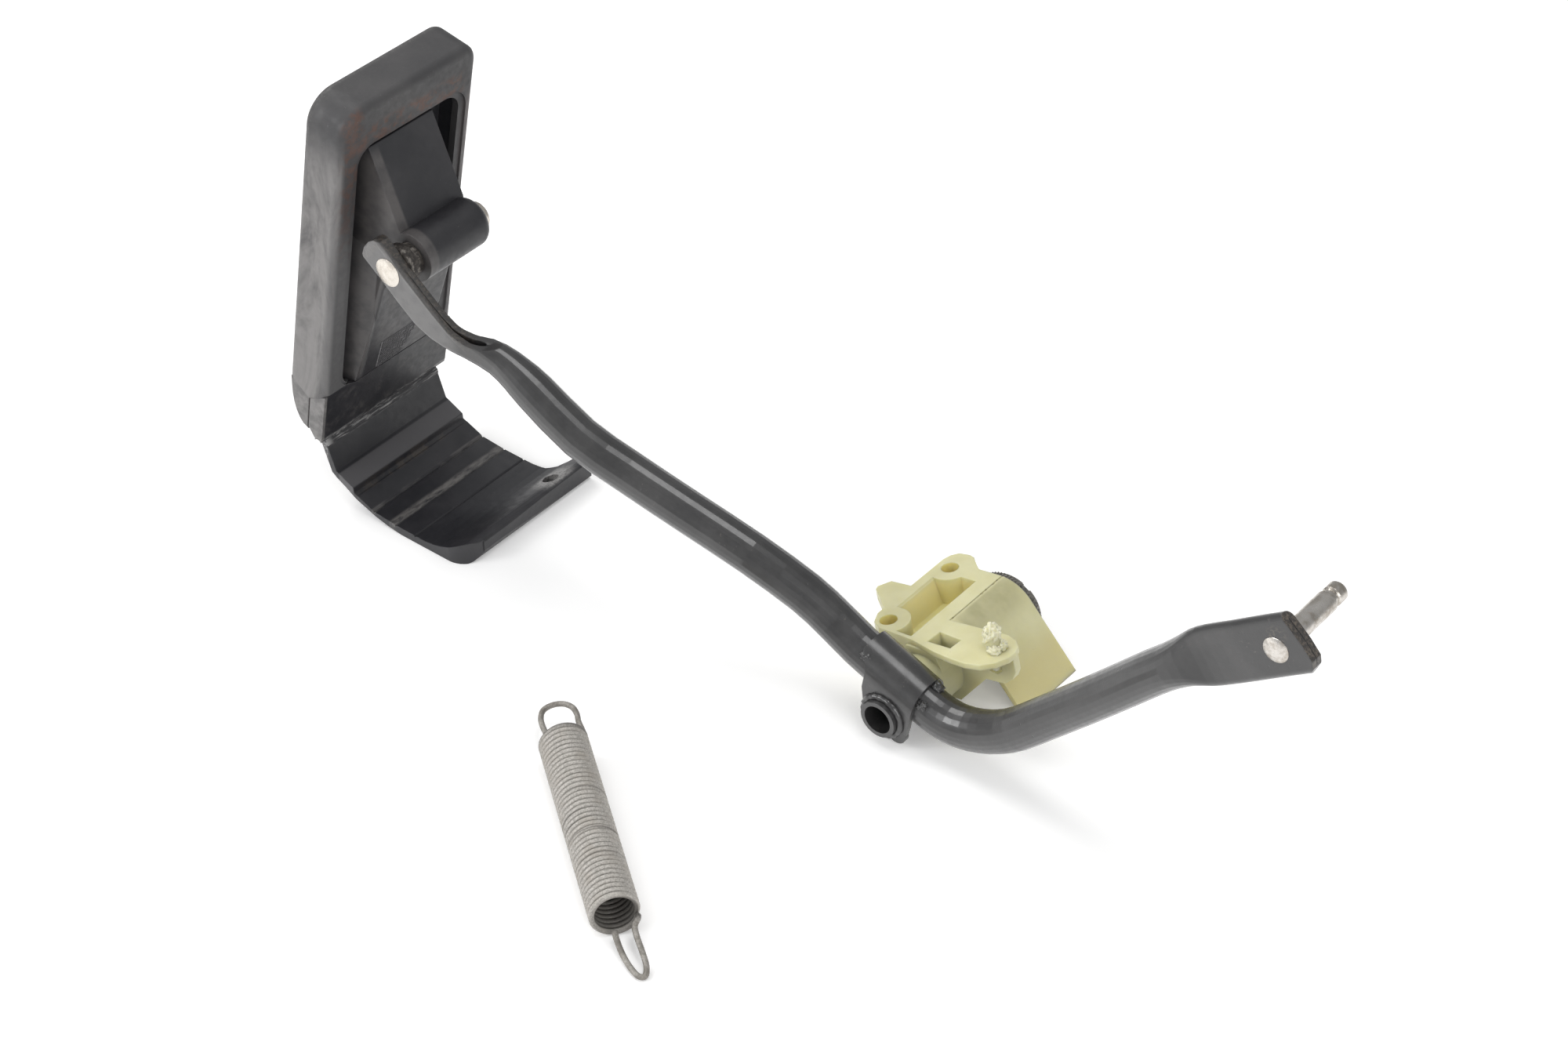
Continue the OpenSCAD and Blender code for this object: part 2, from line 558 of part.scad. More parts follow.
module wire_sweep(v, n) {
    m = len(v);
    fr = frames(v, 0, [0, 1, 0], []);
    pts = [for (i = [0:m - 1]) let (f = cross(w_ahead(v, i), fr[i])) for (k = [0:n - 1])
        v[i] + wire / 2 * (fr[i] * cos(k * 360 / n) + f * sin(k * 360 / n))];
    faces = concat([for (i = [0:m - 2], k = [0:n - 1]) [i * n + k, (i + 1) * n + k,
        (i + 1) * n + (k + 1) % n, i * n + (k + 1) % n]], [[for (k = [0:n - 1]) k]],
        [[for (k = [n - 1:-1:0]) (m - 1) * n + k]]);
    polyhedron(points = pts, faces = faces, convexity = 20);
}

module return_spring() color(zinc) translate([spring_at[0], spring_at[1],
    coil_diameter / 2]) rotate([0, 0, -37.01]) rotate([0, 90, 0])
    rotate([0, 0, 90]) wire_sweep(spring_path(), 7);

pad_cover();
pedal_plate();
heel_strap();
lever_tube();
saddle();
pivot_tube();
pivot_washer();
pivot_cap();
pad_pin();
pin_spacer();
link_pin();
bracket();
return_spring();
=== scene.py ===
import math
import random

import bmesh
import bpy
from mathutils import Matrix, Vector, noise


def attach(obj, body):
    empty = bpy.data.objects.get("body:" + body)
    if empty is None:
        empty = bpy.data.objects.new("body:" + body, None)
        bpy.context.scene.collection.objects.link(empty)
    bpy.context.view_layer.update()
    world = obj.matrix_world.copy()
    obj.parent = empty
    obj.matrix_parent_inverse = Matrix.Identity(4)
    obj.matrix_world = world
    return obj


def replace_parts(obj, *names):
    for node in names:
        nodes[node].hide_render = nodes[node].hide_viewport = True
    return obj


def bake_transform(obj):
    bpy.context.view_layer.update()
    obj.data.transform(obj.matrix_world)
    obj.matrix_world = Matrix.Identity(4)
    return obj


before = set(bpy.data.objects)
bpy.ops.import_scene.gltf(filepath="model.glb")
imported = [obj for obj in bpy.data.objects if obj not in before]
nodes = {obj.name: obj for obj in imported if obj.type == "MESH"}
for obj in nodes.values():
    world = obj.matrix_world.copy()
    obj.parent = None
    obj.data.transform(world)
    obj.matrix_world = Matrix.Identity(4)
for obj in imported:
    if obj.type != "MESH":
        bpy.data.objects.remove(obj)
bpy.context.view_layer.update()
rng = random.Random(7)
noise.seed_set(7)

MM = 0.001


# A place in millimetres, turned by some degrees about one axis
def turned(at, degrees, axis="Y"):
    return Matrix.Translation(at) @ Matrix.Rotation(math.radians(degrees), 4, axis)


# The spring's wire, its outer diameter and its number of turns
WIRE = 1.9
COIL = 16
TURNS = 40

# Local frames and axes of the part, in millimetres, as in the CAD source
SADDLE_LEAN = 20.6
PAD = turned((-30.9, -21, 163.2), 10.7)
PIN_ONE = PAD @ Vector((21, 0, -49.5))
PIN_TWO = Vector((295.5, -21, 104))
HINGE = PAD @ Vector((-2.2, 0, -141.8))
PIVOT = Vector((164.7, -19, 10.3))
BRACKET = turned((164.7, 0, 10.3), -12)
SADDLE = turned(PIVOT, SADDLE_LEAN)
FLAT_ONE = turned(PIN_ONE, 37.7)
FLAT_TWO = turned(PIN_TWO, -35.4)
SPRING = turned((92.7, -97.8, COIL / 2), -37.01, "Z")

# Camera at the photograph's angle: degrees, millimetres for the lens, metres for the place
AZIMUTH, ELEVATION = 38.7, 38.8
SENSOR, LENS = 36, 77.4
CAMERA_AT = (0.6325, -0.6612, 0.7206)

# Light: world strength, floor glow, and each lamp's name, place, aim, size, watts and tint
WORLD = 0.42
FLOOR_GLOW = 0.2
AIM = (0.1, -0.03, 0.05)
LAMPS = [
    ("key", (-0.85, 0.15, 1.25), AIM, (0.8, 0.8), 8.0, (1.0, 0.99, 0.975)),
    ("top", (0.35, 0.05, 1.5), AIM, (0.7, 0.5), 4.5, (1.0, 1.0, 1.0)),
    ("side", (-0.45, -1.15, 0.7), AIM, (0.9, 0.6), 5.5, (0.98, 0.99, 1.0)),
    ("glint", (-0.66, -0.88, 0.66), (0.19, -0.02, 0.02), (0.4, 0.4), 3.0, (1.0, 1.0, 1.0)),
    ("fill", (1.5, -0.7, 0.75), AIM, (1.0, 0.8), 9.0, (1.0, 1.0, 1.0)),
]


# Camera that looks down on the part from its near right side
def make_camera():
    az, el = math.radians(AZIMUTH), math.radians(ELEVATION)
    ahead = Vector((-math.sin(az) * math.cos(el), math.cos(az) * math.cos(el), -math.sin(el)))
    right = Vector((math.cos(az), math.sin(az), 0))
    up = right.cross(ahead)
    data = bpy.data.cameras.new("camera")
    data.sensor_width, data.lens, data.clip_start, data.clip_end = SENSOR, LENS, 0.02, 30
    ob = bpy.data.objects.new("camera", data)
    bpy.context.scene.collection.objects.link(ob)
    ob.matrix_world = Matrix((right, up, -ahead)).transposed().to_4x4()
    ob.location = CAMERA_AT
    bpy.context.scene.camera = ob


# Builds a node material step by step; lengths inside are millimetres
class Mat:
    def __init__(self, name, local=None):
        self.m = bpy.data.materials.new(name)
        self.m.use_nodes = True
        self.t = self.m.node_tree
        self.b = self.t.nodes["Principled BSDF"]
        tc = self.t.nodes.new("ShaderNodeTexCoord")
        mp = self.t.nodes.new("ShaderNodeMapping")
        mp.inputs["Scale"].default_value = (1 / MM, 1 / MM, 1 / MM)
        self.t.links.new(tc.outputs["Object"], mp.inputs["Vector"])
        self.world = mp.outputs[0]
        self.p = self.world if local is None else self.into(local)

    # Coordinates in a local frame
    def into(self, matrix):
        inv = matrix.inverted()
        mp = self.t.nodes.new("ShaderNodeMapping")
        mp.inputs["Rotation"].default_value = inv.to_euler()
        mp.inputs["Location"].default_value = inv.to_translation()
        self.t.links.new(self.world, mp.inputs["Vector"])
        return mp.outputs[0]

    # Gives an input a link, or a value in the form it takes
    def put(self, socket, value):
        if isinstance(value, bpy.types.NodeSocket):
            self.t.links.new(value, socket)
        elif hasattr(socket.default_value, "__len__") and not hasattr(value, "__len__"):
            socket.default_value = [value] * len(socket.default_value)
        elif hasattr(value, "__len__") and len(value) == 3 and len(socket.default_value) == 4:
            socket.default_value = (*value, 1)
        else:
            socket.default_value = value

    def math(self, op, a, b):
        n = self.t.nodes.new("ShaderNodeMath")
        n.operation = op
        self.put(n.inputs[0], a)
        self.put(n.inputs[1], b)
        return n.outputs[0]

    # Product of all values
    def mul(self, first, *rest):
        for v in rest:
            first = self.math("MULTIPLY", first, v)
        return first

    # Larger of two values
    def most(self, a, b):
        return self.math("MAXIMUM", a, b)

    def vec(self, op, a, b=(0, 0, 0), out=0):
        n = self.t.nodes.new("ShaderNodeVectorMath")
        n.operation = op
        self.put(n.inputs[0], a)
        self.put(n.inputs[1], b)
        return n.outputs[out]

    def length(self, v):
        return self.vec("LENGTH", v, out=1)

    def axis(self, k, p=None):
        n = self.t.nodes.new("ShaderNodeSeparateXYZ")
        self.put(n.inputs[0], p or self.p)
        return n.outputs[k]

    def axes(self):
        return [self.axis(k) for k in range(3)]

    def normal(self):
        return self.t.nodes.new("ShaderNodeNewGeometry").outputs["Normal"]

    def noise(self, size, detail=3, rough=0.55, stretch=None, warp=0.0):
        n = self.t.nodes.new("ShaderNodeTexNoise")
        self.put(n.inputs["Vector"], self.vec("MULTIPLY", self.p, stretch) if stretch else self.p)
        self.put(n.inputs["Scale"], 1 / size)
        self.put(n.inputs["Detail"], detail)
        self.put(n.inputs["Roughness"], rough)
        self.put(n.inputs["Distortion"], warp)
        return n.outputs[0]

    def cells(self, size, p=None):
        n = self.t.nodes.new("ShaderNodeTexVoronoi")
        self.put(n.inputs["Vector"], p or self.p)
        self.put(n.inputs["Scale"], 1 / size)
        return n.outputs["Distance"]

    # Smooth ramp from a at lo to b at hi
    def step(self, v, lo, hi, a=0.0, b=1.0):
        n = self.t.nodes.new("ShaderNodeMapRange")
        n.interpolation_type = "SMOOTHSTEP"
        for s, x in zip(n.inputs, (v, lo, hi, a, b)):
            self.put(s, x)
        return n.outputs[0]

    # One between lo and hi, zero outside
    def window(self, v, lo, hi, soft):
        return self.mul(self.step(v, lo - soft, lo + soft), self.step(v, hi - soft, hi + soft, 1, 0))

    # One inside an ellipsoid, zero outside
    def blob(self, centre, radii, p=None, soft=0.6):
        d = self.length(self.vec("DIVIDE", self.vec("SUBTRACT", p or self.p, centre), radii))
        return self.step(d, 1 - soft, 1 + soft * 0.2, 1, 0)

    def mix(self, f, a, b):
        n = self.t.nodes.new("ShaderNodeMix")
        n.data_type = "RGBA"
        self.put(n.inputs["Factor"], f)
        self.put(n.inputs["A"], a)
        self.put(n.inputs["B"], b)
        return n.outputs["Result"]

    # Lays a colour over another where the mask is, by some amount
    def tint(self, col, mask, amount, colour):
        return self.mix(self.mul(mask, amount), col, colour)

    def bump(self, height, distance, strength=1.0, normal=None):
        n = self.t.nodes.new("ShaderNodeBump")
        self.put(n.inputs["Strength"], strength)
        self.put(n.inputs["Distance"], distance * MM)
        self.put(n.inputs["Height"], height)
        if normal is not None:
            self.put(n.inputs["Normal"], normal)
        return n.outputs[0]

    def round_edges(self, radius):
        n = self.t.nodes.new("ShaderNodeBevel")
        n.samples = 4
        self.put(n.inputs["Radius"], radius * MM)
        return n.outputs[0]

    def finish(self, colour, rough, normal, metal=0.0, **more):
        self.put(self.b.inputs["Base Color"], colour)
        self.put(self.b.inputs["Roughness"], rough)
        self.put(self.b.inputs["Metallic"], metal)
        self.put(self.b.inputs["Normal"], normal)
        for k, v in more.items():
            self.put(self.b.inputs[k.replace("_", " ")], v)
        return self.m


# Rubber boot: charcoal, scuffed sides, brown stain round the upper end of the rear opening
def rubber():
    m = Mat("rubber_cover", PAD)
    x, y, z = m.axes()
    col = m.mix(m.step(m.noise(26, 4), 0.35, 0.7), (0.044, 0.043, 0.045), (0.062, 0.060, 0.061))
    streak = m.noise(5, 5, 0.65, stretch=(0.35, 1, 0.12), warp=0.6)
    fine = m.noise(1.1, 4, 0.7)
    near = m.step(y, -29.2, -27.6, 1, 0)
    scuff = m.mul(near, m.step(streak, 0.3, 0.62), m.step(z, -8, -30))
    col = m.tint(col, scuff, 0.95, (0.215, 0.207, 0.203))
    front = m.mul(m.step(x, -15.5, -13.5, 1, 0), m.step(fine, 0.4, 0.7))
    col = m.tint(col, front, 0.5, (0.15, 0.145, 0.14))
    far = m.mul(m.step(y, 26, 28.5), m.step(z, -14, -24))
    col = m.tint(col, far, m.step(streak, 0.2, 0.7, 0.35, 0.8), (0.17, 0.15, 0.147))
    rear = m.step(x, -3.5, -1.5)
    low_rear = m.mul(rear, m.step(z, -20, -60))
    col = m.tint(col, low_rear, 0.6, (0.095, 0.094, 0.095))
    side = m.mul(m.window(y, -28.5, -21, 1.6), m.step(z, -74, -14))
    over = m.mul(m.window(z, -17.5, -8.5, 1.8), m.window(y, -24, 25, 3))
    patchy = m.step(m.noise(4.5, 5, 0.68, warp=0.4), 0.42, 0.62)
    stain = m.mul(rear, m.most(side, over), patchy)
    col = m.tint(col, stain, 0.72, (0.105, 0.05, 0.034))
    dust = m.step(m.noise(0.8, 2), 0.7, 0.8)
    col = m.tint(col, dust, 0.5, (0.16, 0.155, 0.15))
    rough = m.step(m.noise(3, 3), 0.3, 0.7, 0.5, 0.66)
    n = m.bump(m.noise(14, 3), 0.5, 0.35)
    n = m.bump(m.math("ADD", m.noise(0.35, 2), m.mul(scuff, fine)), 0.05, 0.6, n)
    return m.finish(col, rough, n)


# Heel strap's grey panel, worn ridges, rubbed foot and a painted highlight on the end's top edge; gives the
# colour and the whitened line
def strap_marks(m, col, scratch):
    x, y = m.axis(0), m.axis(1)
    fine = m.noise(0.9, 4, 0.7)
    panel = m.window(x, -53.2, -46.9, 0.35)
    col = m.tint(col, panel, 0.9, (0.092, 0.089, 0.093))
    patchy = m.step(m.noise(5, 4, 0.7), 0.45, 0.62)
    brown = m.mul(m.window(x, -46.6, -44.6, 0.7), m.window(y, -44, 0, 6), patchy)
    col = m.tint(col, brown, 0.4, (0.10, 0.08, 0.06))
    broken = m.step(m.noise(3, 5, 0.72, stretch=(1, 0.25, 1)), 0.34, 0.6)
    ridge = m.mul(m.window(x, -30.2, -27.4, 0.8), broken)
    worn = m.mul(m.window(x, -38.6, -37.0, 0.3), m.step(m.noise(5, 3, stretch=(1, 0.3, 1)), 0.45, 0.6))
    col = m.tint(col, m.most(ridge, m.mul(worn, 0.5)), 0.7, (0.19, 0.18, 0.17))
    # Painted highlight, mottled, along the rounded top edge of the strap's end
    edge = m.mul(m.window(x, -3.5, 4.4, 1.0), m.blob((0.6, 0.6, 7.6), (8, 9.5, 8)))
    col = m.tint(col, edge, m.step(fine, 0.3, 0.62, 0.25, 0.8), (0.34, 0.33, 0.32))
    rub = m.blob((1.5, -33, 6.5), (3.6, 6.5, 4))
    col = m.tint(col, m.mul(rub, scratch), 0.9, (0.42, 0.41, 0.4))
    return col, m.window(x, -60.5, -57.6, 0.5)


# Pad plate's scuffed side, painted highlight along the near rib and painted light in the recess beside the
# arm; gives the colour and the whitened line
def plate_marks(m, col):
    x, y, z = m.axes()
    side = m.mul(m.step(y, -28.9, -28.2, 1, 0), m.step(z, -118, -121))
    col = m.tint(col, side, m.step(m.noise(5, 4, 0.7), 0.3, 0.65, 0.45, 0.95), (0.205, 0.197, 0.192))
    # Painted highlight along the near rib's rounded top edge and at its upper end
    line = m.blob((6.3, -12.6, -76), (3, 1.1, 3))
    rib = m.mul(m.window(y, -13.7, -11.9, 0.4), m.window(z, -121, -70, 3), m.step(x, -1.2, 0.4))
    col = m.tint(col, m.most(rib, line), 0.55, (0.11, 0.108, 0.108))
    back = m.mul(m.window(z, -119, -66, 4), m.step(y, -12, -8), m.step(m.noise(12, 3), 0.35, 0.65))
    col = m.tint(col, back, 0.45, (0.06, 0.055, 0.052))
    neck = m.mul(m.window(z, -140, -122, 2), m.step(x, -3, -1), m.step(m.noise(6, 4, 0.7), 0.5, 0.66))
    col = m.tint(col, neck, 0.5, (0.075, 0.07, 0.068))
    # Painted light, mottled, lifting the shaded recess between the opening's near edge and the arm
    corner = m.mul(m.window(y, -20.9, -13.2, 0.6), m.window(z, -119, -20, 3), m.step(x, -9, 1))
    col = m.tint(col, corner, m.step(m.noise(7, 4, 0.6), 0.3, 0.65, 0.4, 0.9), (0.095, 0.088, 0.086))
    return col, m.step(z, -138.6, -140.6)


# Moulded plastic: satin black, dusty in the corners, whitened along the bending line
def plastic(name, strap=False):
    m = Mat(name, None if strap else PAD)
    col = m.mix(m.step(m.noise(18, 4), 0.35, 0.7), (0.018, 0.018, 0.021), (0.030, 0.029, 0.032))
    scratch = m.step(m.noise(1.6, 6, 0.75, stretch=(1, 0.16, 1), warp=0.5), 0.64, 0.76)
    gloss = (0.28, 0.4) if strap else (0.34, 0.46)
    rough = m.step(m.noise(2.4, 3), 0.3, 0.7, *gloss)
    col, white = strap_marks(m, col, scratch) if strap else plate_marks(m, col)
    crack = m.step(m.noise(1.2, 5, 0.7, stretch=(1, 0.22, 1), warp=0.4), 0.42, 0.64)
    col = m.tint(col, m.mul(white, crack), 0.8, (0.36, 0.355, 0.35))
    dust = m.step(m.noise(0.7, 2), 0.72, 0.8)
    col = m.tint(col, dust, 0.5, (0.14, 0.135, 0.13))
    col = m.tint(col, scratch, 0.16, (0.16, 0.155, 0.15))
    n = m.round_edges(0.45)
    n = m.bump(m.noise(9, 3), 0.35, 0.3, n)
    n = m.bump(m.math("ADD", m.noise(0.25, 2), m.mul(scratch, 0.6)), 0.02, 0.55, n)
    return m.finish(col, rough, n)


# Marks on the lever: rubbed spots on the bend, a yellow speck, rusty cut edges on the two flats, and a
# painted reflection on the first flat's near face
def lever_marks(m, col, rough, n):
    worn = 0.0
    for centre, radii in (((29, -33, 84), (5, 3, 3.4)), ((37, -33, 76), (3.4, 3, 5)),
                          ((44, -33, 74), (4, 3, 2.2)), ((22, -33, 88), (4, 4, 3))):
        worn = m.most(worn, m.blob(centre, radii))
    worn = m.mul(worn, m.step(m.noise(1.4, 5, 0.7, warp=0.7), 0.5, 0.6))
    col = m.tint(col, worn, 0.8, (0.21, 0.185, 0.165))
    col = m.mix(m.blob((91.5, -36.0, 60.5), (0.9, 0.9, 0.9), soft=0.2), col, (0.55, 0.36, 0.09))
    one, two = m.into(FLAT_ONE), m.into(FLAT_TWO)
    along, across, up = (m.axis(k, one) for k in range(3))
    upper_edge = m.most(m.step(up, 4.1, 4.7), m.step(along, -7.2, -8.6))
    cut_one = m.mul(m.step(across, -20, -23), m.step(across, -29.5, -28.5), upper_edge, m.step(along, 38, 30))
    sideways = m.length(m.vec("MULTIPLY", m.normal(), (0, 1, 0)))
    cut_two = m.mul(m.step(m.axis(0, two), 5.6, 7.2), m.step(sideways, 0.55, 0.4))
    rust = m.most(m.mul(cut_one, 0.55), cut_two)
    grain = m.noise(1.1, 5, 0.75)
    tone = m.mix(m.step(grain, 0.42, 0.68), (0.022, 0.018, 0.016), (0.13, 0.105, 0.08))
    col = m.tint(col, rust, m.step(m.noise(3, 4, 0.7), 0.3, 0.5, 0.6, 1.0), tone)
    rough = m.most(rough, m.mul(rust, 0.62))
    halo = m.mul(m.blob((2.5, 0, 4.5), (4.5, 9, 3.5), p=two), m.step(m.noise(1.2, 4), 0.45, 0.6))
    col = m.tint(col, halo, 0.5, (0.1, 0.085, 0.065))
    # Painted reflection: lighter grey sheen on the near face of the first flat
    leaf = m.blob((6, -28, 0), (34, 2.4, 8), p=one, soft=0.3)
    leaf = m.mul(leaf, m.step(m.noise(4, 4), 0.25, 0.6, 0.5, 1))
    col = m.tint(col, leaf, 0.6, (0.13, 0.126, 0.125))
    n = m.bump(m.mul(rust, grain), 0.35, 0.8, n)
    n = m.bump(m.mul(worn, -1.0), 0.08, 0.8, n)
    return col, rough, n


# Black paint on steel: pits, chips and scratches
def paint(name, lever=False):
    m = Mat(name)
    col = m.mix(m.step(m.noise(15, 4), 0.35, 0.7), (0.021, 0.0205, 0.021), (0.036, 0.035, 0.035))
    rough = m.step(m.noise(2.0, 3), 0.3, 0.7, 0.3, 0.42)
    pits = m.mul(m.step(m.cells(3.4), 0.05, 0.13, 1, 0), m.step(m.noise(20, 2), 0.45, 0.6))
    chip = m.step(m.noise(1.5, 5, 0.72, warp=0.5), 0.6, 0.68)
    chip = m.mul(chip, m.step(m.noise(16, 3), 0.52, 0.64))
    col = m.tint(col, chip, 0.55, (0.13, 0.115, 0.10))
    scratch = m.step(m.noise(1.3, 6, 0.75, stretch=(0.22, 1, 0.22), warp=0.3), 0.66, 0.75)
    col = m.tint(col, scratch, 0.25, (0.17, 0.165, 0.16))
    n = m.round_edges(1.0 if lever else 0.35)
    if lever:
        col, rough, n = lever_marks(m, col, rough, n)
    n = m.bump(m.noise(3.2, 4, 0.5), 0.10, 0.5, n)
    n = m.bump(m.math("SUBTRACT", m.noise(0.5, 2), m.mul(pits, 2.5)), 0.05, 0.5, n)
    return m.finish(col, rough, n, Coat_Weight=0.8, Coat_Roughness=0.2)


# Turned steel, with fine lines round the pin or without
def steel(name, base, dark, lines):
    m = Mat(name)
    col = m.mix(m.step(m.noise(3.2, 4, 0.65), 0.35, 0.68), base, dark)
    turn = m.noise(0.35, 3, 0.6, stretch=(0.06, 1, 0.06)) if lines else m.noise(1.4, 3)
    n = m.bump(turn, 0.03, 0.5, m.round_edges(0.25))
    rough = m.step(m.noise(1.6, 4, 0.7), 0.3, 0.7, 0.2, 0.38)
    return m.finish(col, rough, n, metal=1.0)


# Dark rust with some bare grey, on the spacer
def rusty():
    m = Mat("rusty_spacer")
    g = m.noise(1.3, 5, 0.75)
    col = m.mix(m.step(g, 0.4, 0.66), (0.030, 0.026, 0.024), (0.085, 0.075, 0.065))
    col = m.mix(m.step(m.noise(2.4, 3, 0.6), 0.52, 0.66), col, (0.22, 0.20, 0.18))
    return m.finish(col, m.step(g, 0.3, 0.7, 0.62, 0.45), m.bump(g, 0.3, 0.9), metal=0.35)


# Natural nylon: pale yellow green, deeper in holes and pocket, with painted grey shade where the dark steel
# lies behind the walls
def nylon():
    m = Mat("natural_nylon", BRACKET)
    x, y, z = m.axes()
    col = m.mix(m.step(m.noise(14, 3), 0.3, 0.7), (0.63, 0.60, 0.345), (0.69, 0.665, 0.415))
    pocket = m.mul(m.window(x, -21, -5.2, 1.5), m.window(y, 4, 34, 2), m.step(z, 13.4, 11.4))
    col = m.tint(col, pocket, m.step(m.noise(9, 3), 0.3, 0.7, 0.6, 0.95), (0.76, 0.69, 0.34))
    for bolt_hole in ((-17.7, 34.5, 10), (-17.4, 1.0, 10)):
        inside = m.mul(m.blob(bolt_hole, (3.9, 3.9, 30), soft=0.25), m.step(z, 13.62, 13.2))
        col = m.tint(col, inside, 0.8, (0.78, 0.70, 0.30))
    # Painted shade: the dark pivot tube seen through the translucent shroud
    shroud = m.mul(m.blob((4, 24, 10), (9.5, 26, 9), soft=0.7), m.step(y, 8.5, 12), m.step(x, 1.0, 2.6))
    col = m.tint(col, shroud, m.step(m.noise(8, 3), 0.3, 0.7, 0.6, 0.95), (0.36, 0.34, 0.19))
    low = m.mul(m.step(z, 3, -8), m.step(x, 9, 14))
    col = m.tint(col, low, 0.7, (0.58, 0.51, 0.24))
    # Painted shade on the bearing housing's near end, under the arm plate and over the steel tube inside
    under = m.mul(m.step(y, 9, 4), m.step(z, 11.3, 9.5), m.window(x, -6, 12, 2.5))
    col = m.tint(col, under, 0.6, (0.42, 0.41, 0.25))
    joint = m.mul(m.window(x, 0.85, 1.5, 0.18), m.step(y, 9, 11), m.step(z, 13, 13.3))
    dots = m.step(m.cells(1.5, p=m.vec("MULTIPLY", m.p, (1, 1, 0.2))), 0.22, 0.4, 1, 0)
    col = m.tint(col, joint, m.most(m.mul(dots, 0.9), 0.25), (0.16, 0.12, 0.05))
    speck = m.step(m.noise(0.9, 2), 0.755, 0.8)
    col = m.tint(col, speck, 0.6, (0.2, 0.15, 0.08))
    n = m.round_edges(0.6)
    n = m.bump(m.noise(5, 3), 0.25, 0.35, n)
    n = m.bump(m.noise(0.6, 3), 0.03, 0.4, n)
    return m.finish(col, 0.42, n, Subsurface_Weight=0.55, Subsurface_Radius=(1.0, 0.9, 0.45),
                    Subsurface_Scale=0.004)


# Paler nylon of the broken peg and the catch
def torn_nylon():
    m = Mat("torn_nylon", BRACKET)
    n = m.bump(m.noise(0.5, 4), 0.08, 0.6)
    return m.finish((0.80, 0.77, 0.55), 0.5, n, Subsurface_Weight=0.5, Subsurface_Radius=(1.0, 0.9, 0.5),
                    Subsurface_Scale=0.002)


# Worn dark plating of the cap and the washer
def cap_metal():
    m = Mat("worn_cap")
    g = m.noise(1.2, 4, 0.7)
    col = m.mix(m.step(g, 0.3, 0.65), (0.11, 0.108, 0.10), (0.27, 0.255, 0.23))
    n = m.bump(g, 0.15, 0.6, m.round_edges(0.2))
    return m.finish(col, m.step(g, 0.3, 0.7, 0.5, 0.35), n, metal=0.5)


# Dull zinc wire, with painted shade between the coils and on the end turns
def zinc():
    m = Mat("zinc_wire", SPRING)
    x = m.axis(0)
    g = m.noise(0.55, 4, 0.7)
    col = m.mix(m.step(g, 0.35, 0.62), (0.30, 0.285, 0.26), (0.50, 0.475, 0.44))
    patch = m.noise(7, 3, 0.6)
    col = m.mix(m.step(patch, 0.45, 0.7, 0.0, 0.6), col, (0.36, 0.33, 0.29))
    radius = m.length(m.vec("MULTIPLY", m.p, (0, 1, 1)))
    body = m.window(x, 0.5, 77.5, 0.4)
    # Painted shade on the inner half of each turn and in the wider gaps between coils
    gap = m.mul(body, m.step(radius, 7.6, 7.0))
    for at, soft in ((29.5, 0.5), (38.5, 0.35), (42.5, 0.5), (47.5, 0.3), (58.5, 0.5)):
        gap = m.most(gap, m.window(x, at, at + 0.4, soft))
    col = m.tint(col, gap, 0.8, (0.10, 0.092, 0.082))
    # Painted shade on the end turns of the coil
    ends = m.most(m.step(x, 1.8, 0.4), m.step(x, 77.3, 79))
    hooks = m.most(m.step(x, -2.5, -4), m.step(x, 80, 82))
    col = m.tint(col, m.math("SUBTRACT", ends, hooks), 0.75, (0.09, 0.085, 0.078))
    col = m.tint(col, hooks, m.step(m.noise(3, 4, 0.7), 0.35, 0.65, 0.35, 0.9), (0.17, 0.155, 0.135))
    return m.finish(col, m.step(g, 0.3, 0.7, 0.62, 0.45), m.bump(g, 0.06, 0.8), metal=0.25)


# Raised marks on the sloping back, coloured lighter grey as a painted highlight
def raised_material():
    m = Mat("raised_plastic")
    col = m.mix(m.step(m.noise(2, 3), 0.3, 0.7), (0.13, 0.127, 0.13), (0.20, 0.195, 0.20))
    return m.finish(col, 0.42, m.bump(m.noise(0.4, 2), 0.02, 0.4))


# Plastic whitened by bending
def web_material():
    m = Mat("bent_plastic")
    crack = m.step(m.noise(0.9, 5, 0.7, stretch=(1, 0.12, 1), warp=0.4), 0.5, 0.66)
    end = m.step(m.axis(1), -45, -47.6)
    white = m.most(m.mul(crack, 0.75), m.mul(end, 0.8))
    col = m.mix(white, (0.035, 0.034, 0.036), (0.33, 0.325, 0.32))
    return m.finish(col, 0.45, m.bump(m.noise(0.5, 3), 0.06, 0.6))


# Gives a CAD node its material
def dress(node, material):
    mesh = nodes[node].data
    mesh.materials.clear()
    mesh.materials.append(material)


# Makes an object from a mesh in millimetres, riding on a body unless that is None
def piece(name, bm, material, body, smooth=True):
    mesh = bpy.data.meshes.new(name)
    for v in bm.verts:
        v.co *= MM
    bmesh.ops.recalc_face_normals(bm, faces=bm.faces)
    bm.to_mesh(mesh)
    bm.free()
    if smooth:
        mesh.polygons.foreach_set("use_smooth", [True] * len(mesh.polygons))
    mesh.materials.append(material)
    ob = bpy.data.objects.new(name, mesh)
    bpy.context.scene.collection.objects.link(ob)
    if body:
        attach(ob, body)
    return ob


